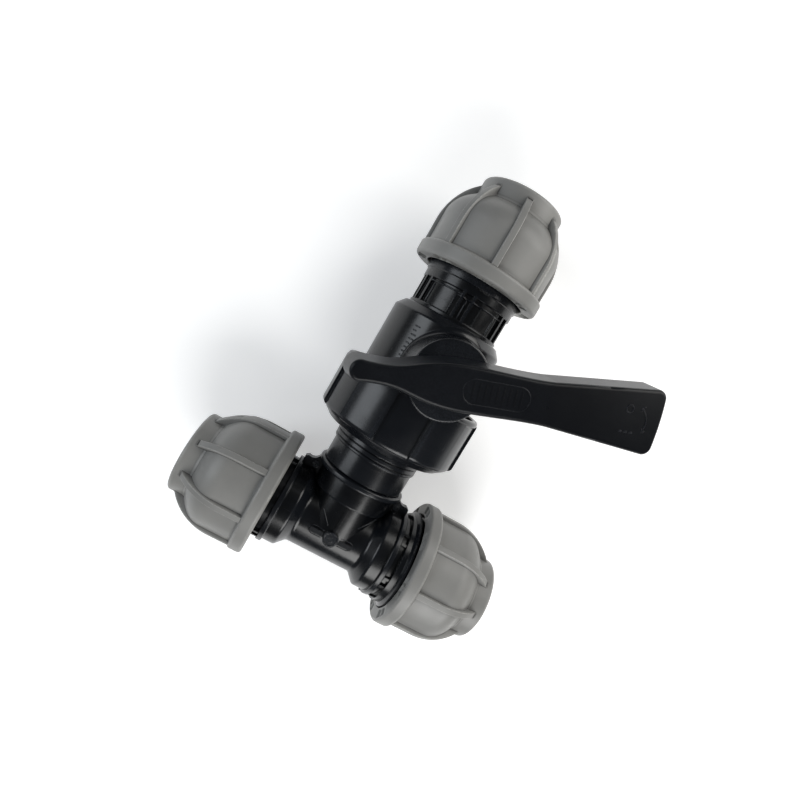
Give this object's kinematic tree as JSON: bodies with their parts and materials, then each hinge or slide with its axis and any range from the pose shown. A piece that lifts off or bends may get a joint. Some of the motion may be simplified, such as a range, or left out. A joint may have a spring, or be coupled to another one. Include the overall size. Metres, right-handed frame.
{
  "type": "union ball valve on a compression tee",
  "caption": "Plastic lever ball valve with a union inlet, mounted on the branch of a compression tee, with ribbed compression nuts gripping plain pipe ends.",
  "frame": {"origin": "on the tee's run axis, at the left pipe's stop; the run and branch axes meet 15 mm away in +X", "axes": "+X along the run towards the right pipe, +Y along the branch and the flow towards the valve outlet, +Z square to the tee on the lever's side"},
  "size_m": [0.1495, 0.181, 0.0811],
  "materials": {
    "black_plastic": "glossy moulded polypropylene",
    "lever_plastic": "satin moulded polypropylene",
    "grey_plastic": "satin moulded polypropylene with fine grain",
    "seal_rubber": "smooth rubber",
    "white_acetal": "smooth acetal",
    "ptfe": "waxy PTFE",
    "ball_plastic": "polished dark plastic"
  },
  "bodies": {
    "tee": {"tee_body": "black_plastic", "tail_piece": "black_plastic", "left_packing_bush": "black_plastic", "left_pipe_o_ring": "seal_rubber", "right_packing_bush": "black_plastic", "right_pipe_o_ring": "seal_rubber"},
    "left_grip": {"left_grip_ring": "white_acetal"},
    "left_nut": {"left_nut": "grey_plastic"},
    "right_grip": {"right_grip_ring": "white_acetal"},
    "right_nut": {"right_nut": "grey_plastic"},
    "union_nut": {"union_nut": "black_plastic"},
    "union_seal": {"union_o_ring": "seal_rubber"},
    "valve": {"valve_body": "black_plastic", "seat_carrier": "black_plastic", "seat_carrier_o_ring": "seal_rubber", "inlet_seat": "ptfe", "outlet_seat": "ptfe", "stem_washer": "ptfe", "lower_stem_o_ring": "seal_rubber", "upper_stem_o_ring": "seal_rubber", "outlet_packing_bush": "black_plastic", "outlet_pipe_o_ring": "seal_rubber"},
    "spindle": {"ball": "ball_plastic", "stem": "black_plastic", "lever": "lever_plastic"},
    "outlet_grip": {"outlet_grip_ring": "white_acetal"},
    "outlet_nut": {"outlet_nut": "grey_plastic"}
  },
  "joints": [
    {"name": "left_nut_travel", "type": "slide", "parent": "tee", "child": "left_grip", "axis": [-1, 0, 0], "range_m": [0, 0.012]},
    {"name": "left_nut_turn", "type": "hinge", "parent": "left_grip", "child": "left_nut", "pos_m": [-0.03, 0, 0], "axis": [-1, 0, 0], "range_deg": [0, 1080]},
    {"name": "right_nut_travel", "type": "slide", "parent": "tee", "child": "right_grip", "axis": [1, 0, 0], "range_m": [-0.0045, 0.0075]},
    {"name": "right_nut_turn", "type": "hinge", "parent": "right_grip", "child": "right_nut", "pos_m": [0.065, 0, 0], "axis": [1, 0, 0], "range_deg": [-405, 675]},
    {"name": "union_nut_turn", "type": "hinge", "parent": "tee", "child": "union_nut", "pos_m": [0.015, 0.055, 0], "axis": [0, -1, 0], "range_deg": [0, 1530]},
    {"name": "valve_draw_off", "type": "slide", "parent": "tee", "child": "union_seal", "axis": [0, 1, 0], "range_m": [0, 0.017]},
    {"name": "valve_swivel", "type": "hinge", "parent": "union_seal", "child": "valve", "pos_m": [0.015, 0.055, 0], "axis": [0, 1, 0], "continuous": true},
    {"name": "lever_turn", "type": "hinge", "parent": "valve", "child": "spindle", "pos_m": [0.015, 0.0786, 0], "axis": [0.1564, 0, 0.9877], "range_deg": [-18.6, 71.4]},
    {"name": "outlet_nut_travel", "type": "slide", "parent": "valve", "child": "outlet_grip", "axis": [0, 1, 0], "range_m": [0, 0.012]},
    {"name": "outlet_nut_turn", "type": "hinge", "parent": "outlet_grip", "child": "outlet_nut", "pos_m": [0.015, 0.14, 0], "axis": [0, 1, 0], "range_deg": [0, 1080]}
  ],
  "couplings": [
    {"joint": "left_nut_travel", "follows": "left_nut_turn", "m_per_rad": 0.00063662},
    {"joint": "right_nut_travel", "follows": "right_nut_turn", "m_per_rad": 0.00063662},
    {"joint": "valve_draw_off", "follows": "union_nut_turn", "m_per_rad": 0.00063662},
    {"joint": "outlet_nut_travel", "follows": "outlet_nut_turn", "m_per_rad": 0.00063662}
  ]
}
